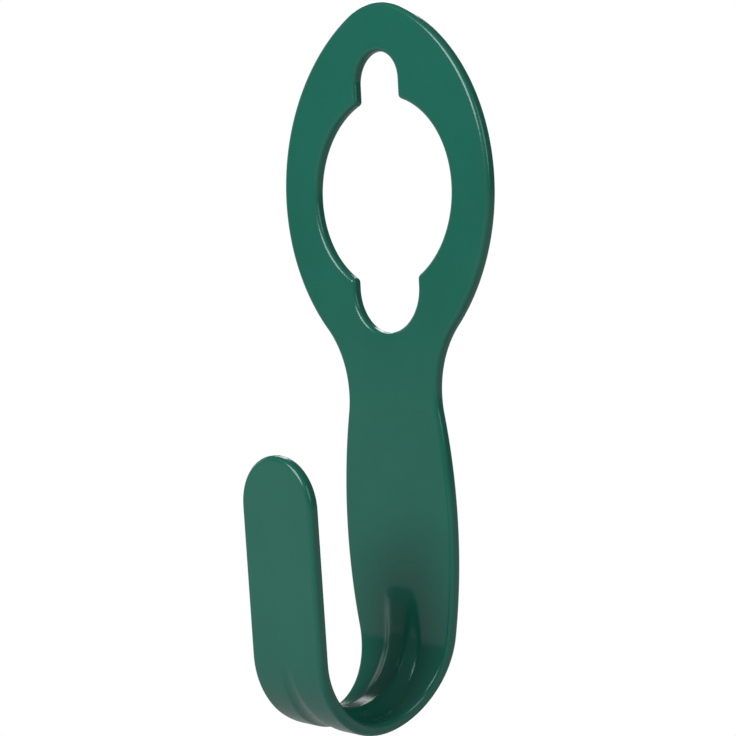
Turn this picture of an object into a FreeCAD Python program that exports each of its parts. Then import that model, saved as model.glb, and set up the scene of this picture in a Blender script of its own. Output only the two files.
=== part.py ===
import FreeCAD, Part
import math
import os
import Sketcher
from FreeCAD import Placement, Rotation, Vector

# Hose hanger: a keyhole plate that drops over a garden tap, with a strap below it that
# bends forward and up into an open hook for the coiled hose. It is one moulding.
# Millimetres. X is across, +Y is towards the wall, +Z is up. The back face lies on Y = 0
# and the origin is the centre of the round seat that hangs on the tap's neck.

SIZES = {
    # Plate and strip
    "thickness": 5.2,
    "edge_radius": 2.0,
    # Keyhole: seat for the tap's neck, round opening for its handle, notch below
    "neck_diameter": 24.7,
    "neck_clearance": 0.6,
    "seat_reach": 6.1,
    "opening_radius": 40.3,
    "notch_radius": 19.1,
    "notch_inset": 0.6,
    "mouth_ease": 0.2,
    # Outline of the head and of the strap
    "rim_width": 21.0,
    "head_rise": 1.1,
    "head_side_radius": 83.5,
    "head_top_radius": 33.2,
    "neck_radius": 40.9,
    "strap_half_width": 32.1,
    "strap_drop": 139.8,
    "strap_side_radius": 236.2,
    # Bend and arm of the hook
    "bend_drop": 185.1,
    "bend_radius": 30.2,
    "arm_lean": 1.1,
    "arm_drop": 103.9,
    "arm_flare": 1.2,
    # Stiffening bead, in two runs: sunk in the bend's inside below the strap, then sunk in
    # its outside below the arm, where it fades out. Turns are in degrees round the bend.
    "bead_half_width": 9.0,
    "bead_depth": 2.0,
    "bead_rim_radius": 3.0,
    "bead_rise": 7.0,
    "bead_turn": 65.0,
    "arm_bead_depth": 2.8,
    "arm_bead_fade": 2.6,
    "arm_bead_start": 100.0,
    "arm_bead_end": 168.0,
    # Spare stock that the outline cuts away
    "stock": 8.0,
}

# Places and radii that follow from the driving sizes
PLACES = {
    "seat_radius": "(sizes.neck_diameter + sizes.neck_clearance) / 2",
    # The corners of the keyhole's mouths, rounder than the edges that run round them
    "mouth_radius": "sizes.edge_radius + sizes.mouth_ease",
    "opening_z": "-(sizes.opening_radius + sizes.seat_reach)",
    "notch_z": "opening_z - sizes.opening_radius + sizes.notch_inset",
    # The head's widest half and the centres of its side arc and its top arc
    "head_half_width": "sizes.opening_radius + sizes.rim_width",
    "head_x": "head_half_width - sizes.head_side_radius",
    "head_z": "opening_z + sizes.head_rise",
    "crown_z": "head_z + sqrt((sizes.head_side_radius - sizes.head_top_radius)^2 - head_x^2)",
    "head_top": "crown_z + sizes.head_top_radius",
    # The centre of the strap's side arc, and of the bend
    "strap_x": "sizes.strap_half_width - sizes.strap_side_radius",
    "strap_z": "opening_z - sizes.strap_drop",
    "bend_z": "opening_z - sizes.bend_drop",
    "bend_y": "-(sizes.thickness + sizes.bend_radius)",
    "bend_outside": "sizes.thickness + sizes.bend_radius",
    "bend_bottom": "bend_z - bend_outside",
    # The foot, at the bottom of the bend's inside, where the arm starts to flare
    "foot_z": "bend_z - sizes.bend_radius",
    "foot_reach": "sqrt(sizes.strap_side_radius^2 - (foot_z - strap_z)^2)",
    "arm_half_width": "strap_x + foot_reach + sizes.arm_flare",
    "flare_radius": "sizes.arm_flare / (1 - foot_reach / sizes.strap_side_radius)",
    "arm_top": "opening_z - sizes.arm_drop",
    # Radii of the bead's round bottom in its two runs
    "bead_radius": "(sizes.bead_half_width^2 + sizes.bead_depth^2) / (2 * sizes.bead_depth)",
    "arm_bead_radius": "(sizes.bead_half_width^2 + sizes.arm_bead_depth^2) / (2 * sizes.arm_bead_depth)",
}

doc = FreeCAD.newDocument("hose_hanger")


def add_sheet(name, cells):
    """A sheet of one column, where each cell has its name as alias."""
    sheet = doc.addObject("Spreadsheet::Sheet", name)
    for row, (alias, content) in enumerate(cells.items(), start=1):
        sheet.set("A%d" % row, alias)
        sheet.set("B%d" % row, content)
        sheet.setAlias("B%d" % row, alias)
    doc.recompute()
    return {alias: sheet.get(alias) for alias in cells}


size = add_sheet("sizes", {alias: str(number) for alias, number in SIZES.items()})
place = add_sheet("places", {alias: "=" + words for alias, words in PLACES.items()})

body = doc.addObject("PartDesign::Body", "hose_hanger")
body.Label = "hose_hanger"
planes = {feature.Role: feature for feature in body.Origin.OriginFeatures}

# How a sketch numbers its own two axes and a curve's points
LEVEL_AXIS, UPRIGHT_AXIS = range(-1, -3, -1)
START, END, CENTRE = range(1, 4)
ORIGIN = (LEVEL_AXIS, START)
# Faces that meet at more than these degrees: at the strip's edges, and at a bead's rim
SHARP_ANGLE = 60
CREASE_ANGLE = 10


class Outline:
    """A sketch on one of the body's planes, with its curves drawn and then dimensioned."""

    def __init__(self, name, plane, **offsets):
        self.sketch = body.newObject("Sketcher::SketchObject", name)
        self.sketch.AttachmentSupport = [(planes[plane], "")]
        self.sketch.MapMode = "FlatFace"
        for axis, words in offsets.items():
            self.sketch.setExpression("AttachmentOffset.Base." + axis, words)

    def tilt(self, words):
        """Turns the sketch about its own horizontal axis by an angle in degrees."""
        self.sketch.AttachmentOffset = Placement(Vector(), Rotation(Vector(1, 0, 0), -1))
        self.sketch.setExpression("AttachmentOffset.Rotation.Angle", words + " * 1deg")

    def line(self, start, end):
        segment = Part.LineSegment(Vector(*start, 0), Vector(*end, 0))
        return self.sketch.addGeometry(segment, False)

    def arc(self, centre, radius, first, last):
        circle = Part.Circle(Vector(*centre, 0), Vector(0, 0, 1), radius)
        return self.sketch.addGeometry(Part.ArcOfCircle(circle, first, last), False)

    def fix(self, kind, *places):
        self.sketch.addConstraint(Sketcher.Constraint(kind, *places))

    def measure(self, kind, places, value, words):
        index = self.sketch.addConstraint(Sketcher.Constraint(kind, *places, value))
        self.sketch.setExpression("Constraints[%d]" % index, words)

    def centre(self, arc, across, up):
        """Dimensions an arc's centre from the origin by two of the named places."""
        self.measure("DistanceX", (*ORIGIN, arc, CENTRE), place[across], "places." + across)
        self.measure("DistanceY", (*ORIGIN, arc, CENTRE), place[up], "places." + up)


def polar(centre, radius, angle):
    return (centre[0] + radius * math.cos(angle), centre[1] + radius * math.sin(angle))


def bearing(centre, point):
    return math.atan2(point[1] - centre[1], point[0] - centre[0])


def crossing(first, first_radius, second, second_radius):
    """The point to the right where two circles cross."""
    gap = math.dist(first, second)
    along = (first_radius**2 - second_radius**2 + gap**2) / (2 * gap)
    across = math.sqrt(first_radius**2 - along**2)
    ahead = ((second[0] - first[0]) / gap, (second[1] - first[1]) / gap)
    return (first[0] + along * ahead[0] - across * ahead[1],
            first[1] + along * ahead[1] + across * ahead[0])


# Side profile of the strip: strap, bend and arm in one J, with spare stock at both ends
def side_profile():
    thick, radius = size["thickness"], size["bend_radius"]
    lean = math.radians(size["arm_lean"])
    centre = (place["bend_y"], place["bend_z"])
    turn_end = math.pi + lean
    top = place["head_top"] + size["stock"]
    arm_top = place["arm_top"] + size["stock"]
    drawing = Outline("side_profile", "YZ_Plane")
    inner_end = polar(centre, radius, turn_end)
    outer_end = polar(centre, radius + thick, turn_end)
    rise = (arm_top - inner_end[1]) * math.tan(lean)
    outer_rise = (arm_top - outer_end[1]) * math.tan(lean)
    back = drawing.line((0, top), (0, centre[1]))
    outer = drawing.arc(centre, radius + thick, turn_end, 2 * math.pi)
    arm_front = drawing.line(outer_end, (outer_end[0] - outer_rise, arm_top))
    arm_cap = drawing.line((outer_end[0] - outer_rise, arm_top), (inner_end[0] - rise, arm_top))
    arm_back = drawing.line((inner_end[0] - rise, arm_top), inner_end)
    inner = drawing.arc(centre, radius, turn_end, 2 * math.pi)
    front = drawing.line((-thick, centre[1]), (-thick, top))
    cap = drawing.line((-thick, top), (0, top))
    drawing.fix("Tangent", back, END, outer, END)
    drawing.fix("Tangent", outer, START, arm_front, START)
    drawing.fix("Coincident", arm_front, END, arm_cap, START)
    drawing.fix("Coincident", arm_cap, END, arm_back, START)
    drawing.fix("Tangent", arm_back, END, inner, START)
    drawing.fix("Tangent", inner, END, front, START)
    drawing.fix("Coincident", front, END, cap, START)
    drawing.fix("Coincident", cap, END, back, START)
    drawing.fix("Coincident", inner, CENTRE, outer, CENTRE)
    drawing.fix("PointOnObject", back, START, UPRIGHT_AXIS)
    drawing.fix("Vertical", back)
    drawing.fix("Horizontal", cap)
    drawing.fix("Horizontal", arm_cap)
    drawing.measure("DistanceY", (*ORIGIN, cap, START), top, "places.head_top + sizes.stock")
    drawing.measure("Radius", (inner,), radius, "sizes.bend_radius")
    drawing.centre(inner, "bend_y", "bend_z")
    drawing.measure("DistanceY", (*ORIGIN, arm_cap, START), arm_top, "places.arm_top + sizes.stock")
    drawing.measure("Angle", (arm_front,), math.pi / 2 + lean, "(90 + sizes.arm_lean) * 1deg")
    return drawing.sketch


def add_strap_arc(drawing, upper_end):
    """The strap's long side arc, which the head's and the arm's outlines share, from a point
    below the bend up to its upper end."""
    centre, radius = (place["strap_x"], place["strap_z"]), size["strap_side_radius"]
    low = place["bend_bottom"] - size["stock"]
    foot = (centre[0] + math.sqrt(radius**2 - (low - centre[1]) ** 2), low)
    arc = drawing.arc(centre, radius, bearing(centre, foot), bearing(centre, upper_end))
    drawing.measure("Radius", (arc,), radius, "sizes.strap_side_radius")
    drawing.centre(arc, "strap_x", "strap_z")
    return arc, foot


def close_waste(drawing, last, bottom, top):
    """Runs from the outline's foot round the outside and back to its top on the axis."""
    margin = 2 * size["stock"]
    far, high = place["head_half_width"] + margin, top + margin
    foot = drawing.line(bottom, (far, bottom[1]))
    side = drawing.line((far, bottom[1]), (far, high))
    over = drawing.line((far, high), (0, high))
    drop = drawing.line((0, high), (0, top))
    drawing.fix("Coincident", last, START, foot, START)
    drawing.fix("Coincident", foot, END, side, START)
    drawing.fix("Coincident", side, END, over, START)
    drawing.fix("Coincident", over, END, drop, START)
    drawing.fix("PointOnObject", drop, END, UPRIGHT_AXIS)
    for level in (foot, over):
        drawing.fix("Horizontal", level)
    for upright in (side, drop):
        drawing.fix("Vertical", upright)
    words = "places.head_half_width + 2 * sizes.stock"
    drawing.measure("DistanceX", (*ORIGIN, side, START), far, words)
    words = "places.bend_bottom - sizes.stock"
    drawing.measure("DistanceY", (*ORIGIN, foot, START), bottom[1], words)
    drawing.measure("DistanceY", (drop, END, drop, START), margin, "2 * sizes.stock")
    return drop


# Everything outside the head and the strap, to the right of the axis
def head_outline():
    radius, top_radius, neck_radius = size["head_side_radius"], size["head_top_radius"], size["neck_radius"]
    head, crown = (place["head_x"], place["head_z"]), (0, place["crown_z"])
    strap, strap_radius = (place["strap_x"], place["strap_z"]), size["strap_side_radius"]
    neck = crossing(head, radius + neck_radius, strap, strap_radius + neck_radius)
    drawing = Outline("head_outline", "XZ_Plane", z="places.bend_outside")
    top = drawing.arc(crown, top_radius, bearing(head, crown), math.pi / 2)
    side = drawing.arc(head, radius, bearing(head, neck), bearing(head, crown))
    inward = drawing.arc(neck, neck_radius, bearing(neck, head), bearing(neck, strap) + 2 * math.pi)
    strap_arc, foot = add_strap_arc(drawing, neck)
    drawing.fix("Tangent", top, START, side, END)
    drawing.fix("Tangent", side, START, inward, START)
    drawing.fix("Tangent", inward, END, strap_arc, END)
    drawing.fix("PointOnObject", top, CENTRE, UPRIGHT_AXIS)
    drop = close_waste(drawing, strap_arc, foot, place["head_top"])
    drawing.fix("Coincident", drop, END, top, END)
    drawing.measure("Radius", (top,), top_radius, "sizes.head_top_radius")
    drawing.measure("Radius", (side,), radius, "sizes.head_side_radius")
    drawing.measure("Radius", (inward,), neck_radius, "sizes.neck_radius")
    drawing.centre(side, "head_x", "head_z")
    return drawing.sketch


# Everything outside the arm, from its round tip down to the bend, to the right of the axis
def arm_outline():
    half, flare_radius = place["arm_half_width"], place["flare_radius"]
    strap, strap_radius = (place["strap_x"], place["strap_z"]), size["strap_side_radius"]
    narrow = (strap[0] + place["foot_reach"], place["foot_z"])
    flare = polar(narrow, -flare_radius, bearing(strap, narrow))
    tip = (0, place["arm_top"] - half)
    drawing = Outline("arm_outline", "XZ_Plane", z="places.bend_outside")
    top = drawing.arc(tip, half, 0, math.pi / 2)
    side = drawing.line((half, tip[1]), (half, flare[1]))
    turn = drawing.arc(flare, flare_radius, bearing(strap, narrow), 0)
    strap_arc, foot = add_strap_arc(drawing, narrow)
    drawing.fix("Tangent", top, START, side, START)
    drawing.fix("Tangent", side, END, turn, END)
    drawing.fix("Tangent", turn, START, strap_arc, END)
    drawing.fix("PointOnObject", top, CENTRE, UPRIGHT_AXIS)
    drawing.fix("Vertical", side)
    drop = close_waste(drawing, strap_arc, foot, place["arm_top"])
    drawing.fix("Coincident", drop, END, top, END)
    drawing.measure("Radius", (top,), half, "places.arm_half_width")
    drawing.measure("Radius", (turn,), flare_radius, "places.flare_radius")
    drawing.measure("DistanceY", (*ORIGIN, drop, END), place["arm_top"], "places.arm_top")
    return drawing.sketch


# Right half of the keyhole: seat, round opening and notch, with rounded corners between
def keyhole_outline():
    opening, notch, seat_radius = size["opening_radius"], size["notch_radius"], place["seat_radius"]
    mouth = place["mouth_radius"]
    round_centre = (0, place["opening_z"])
    notch_centre = (0, place["notch_z"])

    def corner(flank, upward):
        across = flank + mouth
        lift = math.sqrt((opening + mouth) ** 2 - across**2)
        return (across, round_centre[1] + upward * lift)

    upper, lower = corner(seat_radius, 1), corner(notch, -1)
    drawing = Outline("keyhole_outline", "XZ_Plane")
    seat = drawing.arc((0, 0), seat_radius, 0, math.pi / 2)
    seat_flank = drawing.line((seat_radius, 0), (seat_radius, upper[1]))
    upper_corner = drawing.arc(upper, mouth, math.pi, bearing(upper, round_centre) + 2 * math.pi)
    rim = drawing.arc(round_centre, opening, bearing(round_centre, lower), bearing(round_centre, upper))
    lower_corner = drawing.arc(lower, mouth, bearing(lower, round_centre), math.pi)
    notch_flank = drawing.line((notch, lower[1]), (notch, notch_centre[1]))
    foot = drawing.arc(notch_centre, notch, -math.pi / 2, 0)
    axis = drawing.line((0, notch_centre[1] - notch), (0, seat_radius))
    drawing.fix("Coincident", seat, CENTRE, *ORIGIN)
    drawing.fix("Tangent", seat, START, seat_flank, START)
    drawing.fix("Tangent", seat_flank, END, upper_corner, START)
    drawing.fix("Tangent", upper_corner, END, rim, END)
    drawing.fix("Tangent", rim, START, lower_corner, START)
    drawing.fix("Tangent", lower_corner, END, notch_flank, START)
    drawing.fix("Tangent", notch_flank, END, foot, END)
    drawing.fix("Coincident", foot, START, axis, START)
    drawing.fix("Coincident", axis, END, seat, END)
    drawing.fix("PointOnObject", axis, END, UPRIGHT_AXIS)
    drawing.fix("PointOnObject", axis, START, UPRIGHT_AXIS)
    drawing.fix("PointOnObject", rim, CENTRE, UPRIGHT_AXIS)
    drawing.fix("PointOnObject", foot, CENTRE, UPRIGHT_AXIS)
    for flank in (seat_flank, notch_flank):
        drawing.fix("Vertical", flank)
    for corner_arc in (upper_corner, lower_corner):
        drawing.measure("Radius", (corner_arc,), mouth, "places.mouth_radius")
    drawing.measure("Radius", (seat,), seat_radius, "places.seat_radius")
    drawing.measure("Radius", (rim,), opening, "sizes.opening_radius")
    drawing.measure("Radius", (foot,), notch, "sizes.notch_radius")
    drawing.measure("DistanceY", (*ORIGIN, rim, CENTRE), round_centre[1], "places.opening_z")
    drawing.measure("DistanceY", (*ORIGIN, foot, CENTRE), notch_centre[1], "places.notch_z")
    return drawing.sketch


def volume():
    doc.recompute()
    return body.Tip.Shape.Volume


def cut(name, sketch, reverse):
    """Cuts the sketched region away on one side of its plane, and checks that it did."""
    before = volume()
    pocket = body.newObject("PartDesign::Pocket", name)
    pocket.Profile = sketch
    pocket.Type = "ThroughAll"
    pocket.Reversed = reverse
    sketch.Visibility = False
    if not volume() < before:
        raise RuntimeError(name + " removes nothing")
    return pocket


strip = body.newObject("PartDesign::Pad", "strip")
strip.Profile = side_profile()
strip.Midplane = True
strip.setExpression("Length", "2 * (places.head_half_width + sizes.stock)")
doc.recompute()

trims = [
    cut("head_trim", head_outline(), False),
    cut("arm_trim", arm_outline(), True),
    cut("keyhole", keyhole_outline(), True),
]
mirror = body.newObject("PartDesign::Mirrored", "left_half")
mirror.Originals = trims
mirror.MirrorPlane = (planes["YZ_Plane"], [""])
body.Tip = mirror
doc.recompute()


def edge_angle(shape, edge):
    """The angle between the two faces that meet along an edge, in degrees."""
    faces = shape.ancestorsOfType(edge, Part.Face)
    if len(faces) != 2:
        return 0.0
    first, last = edge.ParameterRange
    point = edge.valueAt((first + last) / 2)
    normals = [face.normalAt(*face.Surface.parameter(point)) for face in faces]
    return math.degrees(normals[0].getAngle(normals[1]))


def round_off(name, angle, radius):
    """Rounds every edge where two faces meet at more than the angle."""
    base = body.Tip
    edges = enumerate(base.Shape.Edges, start=1)
    sharp = ["Edge%d" % n for n, edge in edges if edge_angle(base.Shape, edge) > angle]
    rounding = body.newObject("PartDesign::Fillet", name)
    rounding.Base = (base, sharp)
    rounding.setExpression("Radius", radius)
    body.Tip = rounding
    doc.recompute()


round_off("edge_rounding", SHARP_ANGLE, "sizes.edge_radius")


# A bead is a round-bottomed groove that turns about the bend's axis, with a round end
class Bead:
    def __init__(self, name, side, face, sunk, radius, shift="0"):
        """Side is 1 for a bead in the bend's inside and -1 for one in its outside. The radius
        of the face, the bead's depth and round bottom, and the turning axis's shift towards
        the arm are each the name of a size or a place."""
        numbers = {"sizes." + alias: number for alias, number in size.items()}
        numbers.update({"places." + alias: number for alias, number in place.items()})
        self.name = name
        self.side = side
        self.axis_y = "(places.bend_y - %s)" % shift
        self.radius, self.radius_now = radius, numbers[radius]
        self.centre = "(%s + %d * (%s - %s))" % (face, side, sunk, radius)
        self.centre_now = numbers[face] + side * (numbers[sunk] - numbers[radius])
        self.front = "(%s - %d * %s)" % (face, side, sunk)
        self.front_now = numbers[face] - side * numbers[sunk]

    def draw(self, turn):
        """Draws the section on the plane that stands at a turn from the strap."""
        drawing = Outline(self.name + "_section", "XY_Plane", y=self.axis_y, z="places.bend_z")
        drawing.tilt("-(%s)" % turn)
        radius, centre, front = self.radius_now, (0, self.centre_now), self.front_now
        half = math.sqrt(radius**2 - (front - centre[1]) ** 2)
        right, left = bearing(centre, (half, front)), bearing(centre, (-half, front))
        if self.side > 0:
            back = drawing.arc(centre, radius, right, left)
            chord = drawing.line((-half, front), (half, front))
        else:
            back = drawing.arc(centre, radius, left, right + 2 * math.pi)
            chord = drawing.line((half, front), (-half, front))
        drawing.fix("Coincident", back, END, chord, START)
        drawing.fix("Coincident", chord, END, back, START)
        drawing.fix("PointOnObject", back, CENTRE, UPRIGHT_AXIS)
        drawing.fix("Horizontal", chord)
        drawing.measure("Radius", (back,), radius, self.radius)
        drawing.measure("DistanceY", (*ORIGIN, back, CENTRE), centre[1], self.centre)
        drawing.measure("DistanceY", (*ORIGIN, chord, START), front, self.front)
        self.section = drawing.sketch

    def sweep(self, angle):
        groove = body.newObject("PartDesign::Groove", self.name)
        groove.Profile = self.section
        groove.ReferenceAxis = (self.section, ["H_Axis"])
        groove.Reversed = True
        groove.setExpression("Angle", angle)

    def end(self, label, turn, rise="0"):
        """Rounds one end with a ball of the section's radius, at a turn from the strap."""
        ball = body.newObject("PartDesign::SubtractiveSphere", self.name + "_" + label)
        ball.AttachmentSupport = [(planes["XY_Plane"], "")]
        ball.MapMode = "FlatFace"
        ball.setExpression("Radius", self.radius)
        across = "%s + %s * cos(%s * 1deg)" % (self.axis_y, self.centre, turn)
        down = "places.bend_z + %s - %s * sin(%s * 1deg)" % (rise, self.centre, turn)
        ball.setExpression("AttachmentOffset.Base.y", across)
        ball.setExpression("AttachmentOffset.Base.z", down)


def strap_bead():
    """Sunk in the strap's front and on round the inside of the bend."""
    bead = Bead("strap_bead", 1, "sizes.bend_radius", "sizes.bead_depth", "places.bead_radius")
    bead.draw("0")
    bead.sweep("sizes.bead_turn")
    run = body.newObject("PartDesign::Pocket", "strap_bead_run")
    run.Profile = bead.section
    run.Reversed = True
    run.setExpression("Length", "sizes.bead_rise")
    bead.end("top", "0", "sizes.bead_rise")
    bead.end("foot", "sizes.bead_turn")


def arm_bead():
    """Sunk in the outside of the bend, fading out on the arm as its axis is shifted."""
    bead = Bead("arm_bead", -1, "places.bend_outside", "sizes.arm_bead_depth",
                "places.arm_bead_radius", "sizes.arm_bead_fade")
    bead.draw("sizes.arm_bead_start")
    bead.sweep("sizes.arm_bead_end - sizes.arm_bead_start")
    bead.end("foot", "sizes.arm_bead_start")
    bead.end("top", "sizes.arm_bead_end")


for make_bead in (strap_bead, arm_bead):
    before = volume()
    make_bead()
    if not volume() < before - 1:
        raise RuntimeError("a bead removes nothing")
round_off("bead_rims", CREASE_ANGLE, "sizes.bead_rim_radius")


def finish():
    """Checks every object and writes the moulding."""
    for item in doc.Objects:
        if "Invalid" in item.State or "Error" in item.State:
            raise RuntimeError(item.Name + " failed")
    shape = body.Shape
    if shape.isNull() or not shape.isValid() or len(shape.Solids) != 1:
        raise RuntimeError("the moulding isn't one valid solid")
    os.makedirs("parts", exist_ok=True)
    shape.exportStep("parts/" + body.Label + ".step")


finish()
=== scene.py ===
import math

import bmesh
import bpy
import numpy as np
from mathutils import Matrix, Vector
from mathutils.geometry import delaunay_2d_cdt


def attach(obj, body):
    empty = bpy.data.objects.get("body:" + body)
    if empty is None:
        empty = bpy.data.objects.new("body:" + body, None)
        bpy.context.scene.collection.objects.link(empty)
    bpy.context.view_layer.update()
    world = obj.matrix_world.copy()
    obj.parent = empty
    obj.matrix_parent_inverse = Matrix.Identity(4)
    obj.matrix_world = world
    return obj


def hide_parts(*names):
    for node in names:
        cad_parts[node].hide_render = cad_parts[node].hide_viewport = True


# Hose hanger: one green moulding, seen from its right front side on a plain white ground.
# Metres, in the part's frame: X across, +Y towards the wall, +Z up, origin at the tap's neck.

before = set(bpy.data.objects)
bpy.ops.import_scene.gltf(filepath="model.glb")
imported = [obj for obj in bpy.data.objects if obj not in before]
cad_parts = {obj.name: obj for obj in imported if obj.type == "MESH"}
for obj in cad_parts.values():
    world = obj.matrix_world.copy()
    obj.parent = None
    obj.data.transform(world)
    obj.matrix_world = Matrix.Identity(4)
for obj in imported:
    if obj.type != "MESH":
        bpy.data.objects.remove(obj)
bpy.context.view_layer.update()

# Camera, at the photograph's viewing angle
VIEW_AZIMUTH = math.radians(46.66)
VIEW_ELEVATION = math.radians(2.47)
VIEW_ROLL = math.radians(-2.94)
VIEW_DISTANCE = 0.7433
VIEW_CENTRE = Vector((-0.01325, -0.0048, -0.11988))
LENS_MM = 85.2
SENSOR_MM = 36.0

# The lamps face the middle of the part
LIT_POINT = Vector((0.0, 0.0, -0.13))

# Colours are linear
GREEN_DEEP = (0.0090, 0.124, 0.086, 1.0)
GREEN_PALE = (0.0108, 0.138, 0.096, 1.0)
WHITE = (1.0, 1.0, 1.0, 1.0)
ROOM_GREY = (0.12, 0.12, 0.12, 1.0)
FLOOR_GREY = (0.55, 0.55, 0.55, 1.0)
GROUND_GREY = (0.48, 0.48, 0.48, 1.0)

# Moulded plastic: patterns per metre, and how rough the surface runs
CLOUD_SCALE = 22.0
GRAIN_SCALE = 900.0
HAZE_SCALE = 60.0
SKIN_SCALE = 700.0
CLOUD_SHARE = 0.75
ROUGH_LOW, ROUGH_HIGH = 0.17, 0.23
PLASTIC_IOR = 1.46
SKIN_STRENGTH = 0.12
SKIN_DEPTH = 0.0002

# The floor lies below the hanging part and turns into the plain white ground further out
FLOOR_Z = -0.39
FLOOR_SIZE = 12.0
FLOOR_FADE_START = 0.18
FLOOR_FADE_END = 0.34


def add_camera():
    turn = Matrix.Rotation(VIEW_AZIMUTH, 4, "Z") @ Matrix.Rotation(math.pi / 2 - VIEW_ELEVATION, 4, "X")
    data = bpy.data.cameras.new("view")
    data.lens = LENS_MM
    data.sensor_width = SENSOR_MM
    data.clip_end = 50.0
    camera = bpy.data.objects.new("view", data)
    bpy.context.scene.collection.objects.link(camera)
    back = turn.to_3x3() @ Vector((0, 0, 1))
    place = Matrix.Translation(VIEW_CENTRE + back * VIEW_DISTANCE)
    camera.matrix_world = place @ turn @ Matrix.Rotation(VIEW_ROLL, 4, "Z")
    bpy.context.scene.camera = camera


def add_softbox(name, azimuth, elevation, distance, width, height, power):
    """A soft area lamp that faces the part, by its bearing from the front towards +X."""
    data = bpy.data.lights.new(name, "AREA")
    data.shape = "ELLIPSE"
    data.size = width
    data.size_y = height
    data.energy = power
    lamp = bpy.data.objects.new(name, data)
    bpy.context.scene.collection.objects.link(lamp)
    turn, rise = math.radians(azimuth), math.radians(elevation)
    away = Vector((math.sin(turn) * math.cos(rise), -math.cos(turn) * math.cos(rise), math.sin(rise)))
    lamp.location = LIT_POINT + away * distance
    lamp.rotation_euler = away.to_track_quat("Z", "Y").to_euler()


class Graph:
    """A node tree that is filled with short calls."""

    def __init__(self, tree):
        self.tree = tree
        tree.nodes.clear()

    def add(self, kind, inputs=None, **settings):
        """Adds a node; an input is a number, a colour or another node's output socket."""
        node = self.tree.nodes.new(kind)
        for name, value in settings.items():
            setattr(node, name, value)
        for name, value in (inputs or {}).items():
            socket = node.inputs[name]
            if isinstance(value, bpy.types.NodeSocket):
                self.tree.links.new(value, socket)
            else:
                socket.default_value = value
        return node

    def maths(self, operation, first, second):
        node = self.add("ShaderNodeMath", {0: first, 1: second}, operation=operation)
        return node.outputs["Value"]

    def noise(self, place, scale, detail, roughness):
        inputs = {"Vector": place, "Scale": scale, "Detail": detail, "Roughness": roughness}
        return self.add("ShaderNodeTexNoise", inputs).outputs["Fac"]

    def spread(self, value, low, high, to_low, to_high, **settings):
        inputs = {"Value": value, "From Min": low, "From Max": high, "To Min": to_low, "To Max": to_high}
        return self.add("ShaderNodeMapRange", inputs, **settings).outputs["Result"]


def add_world():
    """The room gives a little grey light, and the camera sees the plain white ground."""
    world = bpy.data.worlds.new("studio")
    bpy.context.scene.world = world
    world.use_nodes = True
    graph = Graph(world.node_tree)
    path = graph.add("ShaderNodeLightPath")
    room = graph.add("ShaderNodeBackground", {"Color": ROOM_GREY, "Strength": 1.0})
    ground = graph.add("ShaderNodeBackground", {"Color": WHITE, "Strength": 1.0})
    mix = graph.add("ShaderNodeMixShader", {
        "Fac": path.outputs["Is Camera Ray"], 1: room.outputs[0], 2: ground.outputs[0]})
    graph.add("ShaderNodeOutputWorld", {"Surface": mix.outputs[0]})


def floor_material():
    """Pale floor near the part, which takes its shadow, and plain white to the camera beyond."""
    material = bpy.data.materials.new("studio_floor")
    material.use_nodes = True
    graph = Graph(material.node_tree)
    place = graph.add("ShaderNodeNewGeometry").outputs["Position"]
    flat = graph.add("ShaderNodeVectorMath", {0: place, 1: (1.0, 1.0, 0.0)}, operation="MULTIPLY")
    reach = graph.add("ShaderNodeVectorMath", {0: flat.outputs["Vector"]}, operation="LENGTH")
    far = graph.spread(reach.outputs["Value"], FLOOR_FADE_START, FLOOR_FADE_END, 0.0, 1.0,
                       interpolation_type="SMOOTHSTEP")
    path = graph.add("ShaderNodeLightPath")
    near = graph.add("ShaderNodeBsdfDiffuse", {"Color": FLOOR_GREY})
    lit = graph.add("ShaderNodeEmission", {"Color": GROUND_GREY, "Strength": 1.0})
    white = graph.add("ShaderNodeEmission", {"Color": WHITE, "Strength": 1.0})
    ground = graph.add("ShaderNodeMixShader", {
        "Fac": path.outputs["Is Camera Ray"], 1: lit.outputs[0], 2: white.outputs[0]})
    mix = graph.add("ShaderNodeMixShader", {"Fac": far, 1: near.outputs[0], 2: ground.outputs[0]})
    graph.add("ShaderNodeOutputMaterial", {"Surface": mix.outputs[0]})
    return material


def add_floor():
    bpy.ops.mesh.primitive_plane_add(size=FLOOR_SIZE, location=(0, 0, FLOOR_Z))
    floor = bpy.context.object
    floor.name = "studio_floor"
    floor.data.materials.append(floor_material())


def plastic():
    """Moulded plastic: an even green with faint clouding, a satin gloss and a fine skin."""
    material = bpy.data.materials.new("green_plastic")
    material.use_nodes = True
    graph = Graph(material.node_tree)
    place = graph.add("ShaderNodeTexCoord").outputs["Object"]
    cloud = graph.noise(place, CLOUD_SCALE, 3.0, 0.55)
    grain = graph.noise(place, GRAIN_SCALE, 2.0, 0.6)
    tone = graph.maths("ADD", graph.maths("MULTIPLY", cloud, CLOUD_SHARE),
                       graph.maths("MULTIPLY", grain, 1 - CLOUD_SHARE))
    share = graph.spread(tone, 0.35, 0.65, 0.0, 1.0)
    colour = graph.add("ShaderNodeMix", {"Factor": share, "A": GREEN_DEEP, "B": GREEN_PALE}, data_type="RGBA")
    rough = graph.spread(graph.noise(place, HAZE_SCALE, 4.0, 0.6), 0.3, 0.7, ROUGH_LOW, ROUGH_HIGH)
    peel = graph.noise(place, SKIN_SCALE, 1.5, 0.5)
    skin = graph.add("ShaderNodeBump", {"Height": peel, "Strength": SKIN_STRENGTH, "Distance": SKIN_DEPTH})
    shader = graph.add("ShaderNodeBsdfPrincipled", {
        "Base Color": colour.outputs["Result"], "Roughness": rough, "IOR": PLASTIC_IOR,
        "Normal": skin.outputs["Normal"]})
    graph.add("ShaderNodeOutputMaterial", {"Surface": shader.outputs["BSDF"]})
    return material


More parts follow.
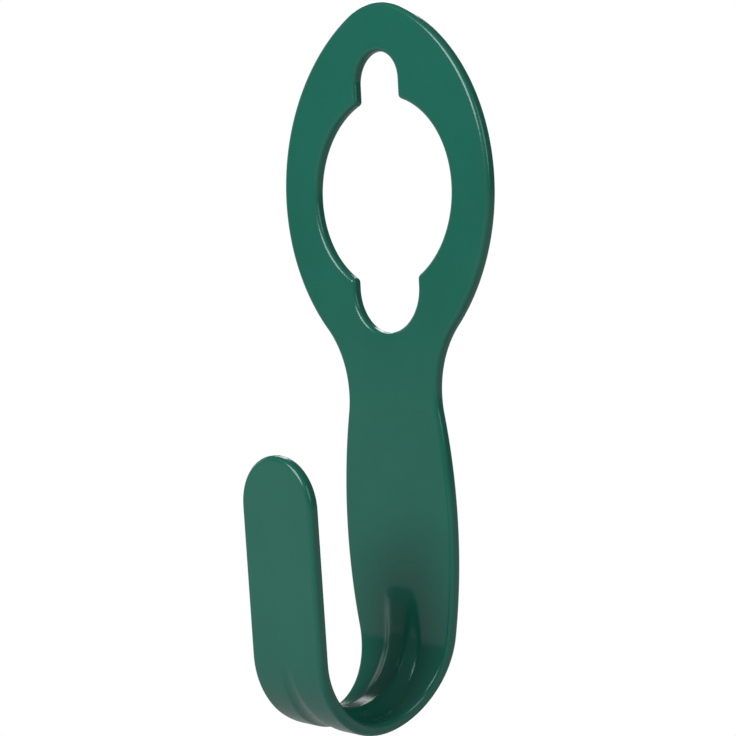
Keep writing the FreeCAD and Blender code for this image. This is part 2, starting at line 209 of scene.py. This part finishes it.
MILLIMETRE = 0.001

# The hanger's sizes, in millimetres in the plane of the plate, with z up from the tap's neck
THICKNESS = 5.2
EDGE_RADIUS = 2.0
SEAT_RADIUS = 12.65
OPENING_RADIUS = 40.3
OPENING_CENTRE = (0.0, -46.4)
NOTCH_RADIUS = 19.1
NOTCH_CENTRE = (0.0, -86.1)
MOUTH_RADIUS = 2.2
HEAD_RADIUS = 83.5
HEAD_CENTRE = (-22.2, -45.3)
CROWN_RADIUS = 33.2
NECK_RADIUS = 40.9
STRAP_RADIUS = 236.2
STRAP_CENTRE = (-204.1, -186.2)
BEND_LEVEL = -231.5
BEND_RADIUS = 30.2
ARM_TOP = -150.3
ARM_LEAN = math.radians(1.1)
ARM_FLARE = 1.2
# The bead that stands out of the bend's inside: its flanks start and end off the middle line, it
# climbs over a run that is measured from the bend's start, and it fades over a turn of the bend
BEAD_HEIGHT = 4.6
BEAD_CREST_HALF = 2.5
BEAD_FOOT_HALF = 12.5
BEAD_TIP = -22.0
BEAD_TIP_END = -12.0
BEAD_FULL = 18.0
BEAD_FADE_START = math.radians(115)
BEAD_FADE_END = math.radians(165)
# The bead that is sunk in the outside, below the arm
ARM_BEAD_DEPTH = 2.8
ARM_BEAD_FADE = 2.6
ARM_BEAD_ROUND = 15.9
RIM_BLEND = 0.25
ARM_BEAD_START = math.radians(100)
ARM_BEAD_END = math.radians(168)
# Spacing of the mesh along the outline, round its small corners and across its rounded edge
OUTLINE_STEP = 0.9
CORNER_STEP = math.radians(7)
ROUNDING_STEPS = 8
# Rows and columns of the mesh near the beads, and how far they reach past them
ROW_STEP = 0.8
FINE_COLUMN, WIDE_COLUMN = 0.55, 1.8
ROW_MARGIN, COLUMN_MARGIN = 4.0, 2.0
ROWS_UP_ARM = 16.0
WIDEST_COLUMN = 40.0
EDGE_GAP = 0.6
SLOPE_STEP = 0.05
LOOP_BATCH = 2000
CDT_MARGIN = 1e-6

MIDDLE_RADIUS = BEND_RADIUS + THICKNESS / 2
BEND_START = -BEND_LEVEL
BEND_TURN = math.pi - ARM_LEAN
BEND_END = BEND_START + MIDDLE_RADIUS * BEND_TURN
ARM_FOOT = BEND_LEVEL - MIDDLE_RADIUS * math.sin(BEND_TURN)


def polar(centre, radius, angle):
    return (centre[0] + radius * math.cos(angle), centre[1] + radius * math.sin(angle))


def bearing(centre, point):
    return math.atan2(point[1] - centre[1], point[0] - centre[0])


def neck_centre():
    """Where the circle of the neck, which touches the head's and the strap's, has its centre."""
    first, second = HEAD_RADIUS + NECK_RADIUS, STRAP_RADIUS + NECK_RADIUS
    gap = math.dist(HEAD_CENTRE, STRAP_CENTRE)
    along = (first**2 - second**2 + gap**2) / (2 * gap)
    across = math.sqrt(first**2 - along**2)
    ahead = ((STRAP_CENTRE[0] - HEAD_CENTRE[0]) / gap, (STRAP_CENTRE[1] - HEAD_CENTRE[1]) / gap)
    return (HEAD_CENTRE[0] + along * ahead[0] - across * ahead[1],
            HEAD_CENTRE[1] + along * ahead[1] + across * ahead[0])


def arc_points(centre, radius, first, last, step, facing=1):
    """Points (x, z, and the normal's x, z) round an arc; facing is -1 where the part is outside it."""
    count = max(2, math.ceil(abs(last - first) * radius / step))
    points = []
    for k in range(count):
        angle = first + (last - first) * k / count
        points.append((*polar(centre, radius, angle), facing * math.cos(angle), facing * math.sin(angle)))
    return points


# Distances run down the strap's middle surface, round the bend and up the arm
def middle_frame(along):
    """Place (y, z) on the middle surface, and the direction to its inner side."""
    if along <= BEND_START:
        return (-THICKNESS / 2, -along), (-1.0, 0.0)
    turn = min(along - BEND_START, MIDDLE_RADIUS * BEND_TURN) / MIDDLE_RADIUS
    inward = (-math.cos(turn), math.sin(turn))
    y = -(THICKNESS + BEND_RADIUS) + MIDDLE_RADIUS * math.cos(turn)
    z = BEND_LEVEL - MIDDLE_RADIUS * math.sin(turn)
    rest = max(0.0, along - BEND_END)
    return (y - rest * math.sin(ARM_LEAN), z + rest * math.cos(ARM_LEAN)), inward


def half_width(z, on_arm):
    """Half width of the strip at a level, and its slope, where it runs round the bend."""
    foot = BEND_LEVEL - BEND_RADIUS
    reach = math.sqrt(STRAP_RADIUS**2 - (foot - STRAP_CENTRE[1]) ** 2)
    narrow = STRAP_CENTRE[0] + reach
    if on_arm and z > foot:
        radius = ARM_FLARE / (1 - reach / STRAP_RADIUS)
        centre = narrow - radius * reach / STRAP_RADIUS
        level = foot - radius * (foot - STRAP_CENTRE[1]) / STRAP_RADIUS
        if z >= level:
            return centre + radius, 0.0
        run = math.sqrt(radius**2 - (z - level) ** 2)
        return centre + run, -(z - level) / run
    run = math.sqrt(STRAP_RADIUS**2 - (z - STRAP_CENTRE[1]) ** 2)
    return STRAP_CENTRE[0] + run, -(z - STRAP_CENTRE[1]) / run


def outer_loop():
    """The part's outline on the middle surface: across, along, and the normal's two parts."""
    crown = (0.0, HEAD_CENTRE[1] + math.sqrt((HEAD_RADIUS - CROWN_RADIUS) ** 2 - HEAD_CENTRE[0] ** 2))
    neck = neck_centre()
    bend_corner = (half_width(BEND_LEVEL, False)[0], BEND_LEVEL)
    flat = arc_points(crown, CROWN_RADIUS, math.pi / 2, bearing(HEAD_CENTRE, crown), OUTLINE_STEP)
    flat += arc_points(HEAD_CENTRE, HEAD_RADIUS, bearing(HEAD_CENTRE, crown), bearing(HEAD_CENTRE, neck),
                       OUTLINE_STEP)
    flat += arc_points(neck, NECK_RADIUS, bearing(neck, HEAD_CENTRE),
                       bearing(neck, STRAP_CENTRE) + 2 * math.pi, OUTLINE_STEP, -1)
    flat += arc_points(STRAP_CENTRE, STRAP_RADIUS, bearing(STRAP_CENTRE, neck),
                       bearing(STRAP_CENTRE, bend_corner), OUTLINE_STEP)
    half = [(x, -z, nx, -nz) for x, z, nx, nz in flat]
    arm_half = half_width(ARM_TOP, True)[0]
    tip_along = BEND_END + (ARM_TOP - arm_half - ARM_FOOT) / math.cos(ARM_LEAN)
    count = math.ceil((tip_along - BEND_START) / OUTLINE_STEP)
    for k in range(count):
        along = BEND_START + (tip_along - BEND_START) * k / count
        (_, z), inward = middle_frame(along)
        width, slope = half_width(z, along > BEND_START + MIDDLE_RADIUS * math.pi / 2)
        normal = Vector((1.0, -slope * inward[0])).normalized()
        half.append((width, along, normal.x, normal.y))
    half += arc_points((0.0, tip_along), arm_half, 0.0, math.pi / 2, OUTLINE_STEP)
    tip = (0.0, tip_along + arm_half, 0.0, 1.0)
    return half + [tip] + [(-x, along, -nx, ns) for x, along, nx, ns in reversed(half[1:])]


def keyhole_loop():
    """The keyhole's outline, with normals that point into the hole."""

    def corner(flank, upward):
        across = flank + MOUTH_RADIUS
        lift = math.sqrt((OPENING_RADIUS + MOUTH_RADIUS) ** 2 - across**2)
        return (across, OPENING_CENTRE[1] + upward * lift)

    def flank(x, top, bottom):
        count = math.ceil((top - bottom) / OUTLINE_STEP)
        return [(x, top + (bottom - top) * k / count, -1.0, 0.0) for k in range(count)]

    upper, lower = corner(SEAT_RADIUS, 1), corner(NOTCH_RADIUS, -1)
    fine = MOUTH_RADIUS * CORNER_STEP
    half = arc_points((0.0, 0.0), SEAT_RADIUS, math.pi / 2, 0.0, OUTLINE_STEP, -1)
    half += flank(SEAT_RADIUS, 0.0, upper[1])
    half += arc_points(upper, MOUTH_RADIUS, math.pi, bearing(upper, OPENING_CENTRE) + 2 * math.pi, fine)
    half += arc_points(OPENING_CENTRE, OPENING_RADIUS, bearing(OPENING_CENTRE, upper),
                       bearing(OPENING_CENTRE, lower), OUTLINE_STEP, -1)
    half += arc_points(lower, MOUTH_RADIUS, bearing(lower, OPENING_CENTRE), math.pi, fine)
    half += flank(NOTCH_RADIUS, lower[1], NOTCH_CENTRE[1])
    half += arc_points(NOTCH_CENTRE, NOTCH_RADIUS, 0.0, -math.pi / 2, OUTLINE_STEP, -1)
    bottom = (0.0, NOTCH_CENTRE[1] - NOTCH_RADIUS, 0.0, 1.0)
    right = half + [bottom]
    whole = right + [(-x, z, -nx, nz) for x, z, nx, nz in reversed(half[1:])]
    return [(x, -z, nx, -nz) for x, z, nx, nz in whole]


def step_up(value, low, high):
    """Rises smoothly from 0 at low to 1 at high."""
    share = min(1.0, max(0.0, (value - low) / (high - low)))
    return share * share * share * (share * (share * 6 - 15) + 10)


def inner_rise(across, along):
    """How far the bead inside the bend stands out of the plain surface."""
    run = along - BEND_START
    if run > 0:
        run *= BEND_RADIUS / MIDDLE_RADIUS
    share = min(1.0, max(0.0, (run - BEAD_TIP) / (BEAD_FULL - BEAD_TIP)))
    climb = share * (4 - share**3) / 3 * step_up(run, BEAD_TIP, BEAD_TIP_END)
    fade = 1 - step_up(run / BEND_RADIUS, BEAD_FADE_START, BEAD_FADE_END)
    flank = 1 - step_up(abs(across), BEAD_CREST_HALF, BEAD_FOOT_HALF)
    return BEAD_HEIGHT * climb * fade * flank


def outer_sink(across, along):
    """How deep the bead outside the bend lies under the plain surface."""
    turn = (along - BEND_START) / MIDDLE_RADIUS
    beyond = max(0.0, ARM_BEAD_START - turn, turn - ARM_BEAD_END) * (BEND_RADIUS + THICKNESS)
    deep = ARM_BEAD_DEPTH + ARM_BEAD_FADE * math.cos(min(max(turn, ARM_BEAD_START), ARM_BEAD_END))
    room = deep - (across**2 + beyond**2) / (2 * ARM_BEAD_ROUND)
    return max(room, 0.0) if abs(room) > RIM_BLEND else (room + RIM_BLEND) ** 2 / (4 * RIM_BLEND)


def place_on(across, along, height):
    (y, z), inward = middle_frame(along)
    return Vector((across, y + inward[0] * height, z + inward[1] * height))


def face_point(across, along, side):
    """A point on the inner face, where side is 1, or on the outer one, with its bead."""
    sink = -inner_rise(across, along) if side > 0 else outer_sink(across, along)
    return place_on(across, along, side * (THICKNESS / 2 - sink))


def face_normal(across, along, side):
    over = face_point(across + SLOPE_STEP, along, side) - face_point(across - SLOPE_STEP, along, side)
    down = face_point(across, along + SLOPE_STEP, side) - face_point(across, along - SLOPE_STEP, side)
    normal = over.cross(down).normalized()
    _, inward = middle_frame(along)
    outward = Vector((0.0, inward[0], inward[1])) * side
    return normal if normal.dot(outward) > 0 else -normal


def grid_points(side):
    """Rows and columns round the bend, finer where the bead is, inside the rounded edge."""
    first = BEND_START + BEAD_TIP - ROW_MARGIN
    last = BEND_END if side > 0 else BEND_END + ROWS_UP_ARM
    columns, x = [0.0], 0.0
    while x < WIDEST_COLUMN:
        x += FINE_COLUMN if x < BEAD_FOOT_HALF + COLUMN_MARGIN else WIDE_COLUMN
        columns += [x, -x]
    points = []
    rows = math.ceil((last - first) / ROW_STEP)
    for k in range(rows + 1):
        along = first + (last - first) * k / rows
        (_, z), _ = middle_frame(along)
        width, _ = half_width(z, along > BEND_START + MIDDLE_RADIUS * math.pi / 2)
        points += [(x, along) for x in columns if abs(x) < width - EDGE_RADIUS - EDGE_GAP]
    return points


def inside(points, loop):
    """Which of the points lie inside a closed loop, by counting crossings."""
    if len(points) > LOOP_BATCH:
        return np.concatenate([inside(points[:LOOP_BATCH], loop), inside(points[LOOP_BATCH:], loop)])
    x, y = points[:, 0][:, None], points[:, 1][:, None]
    x1, y1 = loop[:, 0][None], loop[:, 1][None]
    x2, y2 = np.roll(loop[:, 0], -1)[None], np.roll(loop[:, 1], -1)[None]
    rising = (y1 > y) != (y2 > y)
    gap = np.where(y2 == y1, 1.0, y2 - y1)
    return ((rising & (x < x1 + (y - y1) * (x2 - x1) / gap)).sum(axis=1) % 2) == 1


class Shell:
    """The hanger's skin: places and normals of its points, and its faces."""

    def __init__(self):
        self.places, self.normals, self.faces = [], [], []
        self.rims = {1: [], -1: []}

    def round_edge(self, loop):
        """Rings from the inner face's rim over the rounded edge to the outer face's rim."""
        angles = [k * math.pi / 2 / ROUNDING_STEPS for k in range(ROUNDING_STEPS + 1)]
        profile = [(1, angle) for angle in angles] + [(-1, angle) for angle in reversed(angles)]
        base, count = len(self.places), len(loop)
        for side, angle in profile:
            inset = EDGE_RADIUS * (1 - math.sin(angle))
            height = side * (THICKNESS / 2 - EDGE_RADIUS * (1 - math.cos(angle)))
            for across, along, out_x, out_s in loop:
                x, s = across - inset * out_x, along - inset * out_s
                self.places.append(place_on(x, s, height))
                _, inward = middle_frame(s)
                up = Vector((0.0, inward[0], inward[1]))
                out = Vector((out_x, -inward[1] * out_s, inward[0] * out_s))
                self.normals.append((up * side * math.cos(angle) + out * math.sin(angle)).normalized())
        rings = len(profile) - 1
        self.rims[1].append(range(base, base + count))
        self.rims[-1].append(range(base + rings * count, base + (rings + 1) * count))
        for ring in range(rings):
            for k in range(count):
                first, second = base + ring * count + k, base + ring * count + (k + 1) % count
                self.faces.append((first, second, second + count, first + count))

    def fill_face(self, side, loops):
        """One face between the rims of the outline and the keyhole, with its bead."""
        rims = [[(across - EDGE_RADIUS * nx, along - EDGE_RADIUS * ns) for across, along, nx, ns in loop]
                for loop in loops]
        spots, index, lines = [], [], []
        for rim, ring in zip(rims, self.rims[side]):
            start = len(spots)
            spots += rim
            index += list(ring)
            lines += [(start + k, start + (k + 1) % len(rim)) for k in range(len(rim))]
        for across, along in grid_points(side):
            spots.append((across, along))
            index.append(len(self.places))
            self.places.append(face_point(across, along, side))
            self.normals.append(face_normal(across, along, side))
        net = delaunay_2d_cdt([Vector(spot) for spot in spots], lines, [], 0, CDT_MARGIN, True)
        corners, sources = net[2], [group[0] for group in net[3]]
        triangles = np.array([[sources[corner] for corner in face] for face in corners])
        centres = np.array(spots)[triangles].mean(axis=1)
        kept = inside(centres, np.array(rims[0])) & ~inside(centres, np.array(rims[1]))
        self.faces += [tuple(index[corner] for corner in triangle) for triangle in triangles[kept]]


def build_hanger():
    shell = Shell()
    loops = [outer_loop(), keyhole_loop()]
    for loop in loops:
        shell.round_edge(loop)
    for side in (1, -1):
        shell.fill_face(side, loops)
    return shell


def add_hanger(material):
    shell = build_hanger()
    mesh = bpy.data.meshes.new("hanger")
    mesh.from_pydata([place * MILLIMETRE for place in shell.places], [], shell.faces)
    turned = bmesh.new()
    turned.from_mesh(mesh)
    bmesh.ops.recalc_face_normals(turned, faces=turned.faces)
    turned.to_mesh(mesh)
    turned.free()
    mesh.polygons.foreach_set("use_smooth", [True] * len(mesh.polygons))
    mesh.normals_split_custom_set_from_vertices(shell.normals)
    mesh.materials.append(material)
    hanger = bpy.data.objects.new("hanger", mesh)
    bpy.context.scene.collection.objects.link(hanger)
    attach(hanger, "root")
    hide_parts("hose_hanger")


bpy.context.scene.view_settings.view_transform = "Standard"
add_camera()
add_world()
add_floor()
add_softbox("front", -4, 34, 1.25, 0.8, 0.7, 12.8)
add_softbox("right", 82, 26, 1.2, 0.55, 0.7, 2.8)
add_softbox("left", -84, 14, 1.6, 0.9, 0.8, 1.3)
add_softbox("back", 226, 36, 1.3, 0.7, 0.7, 4.5)
add_hanger(plastic())
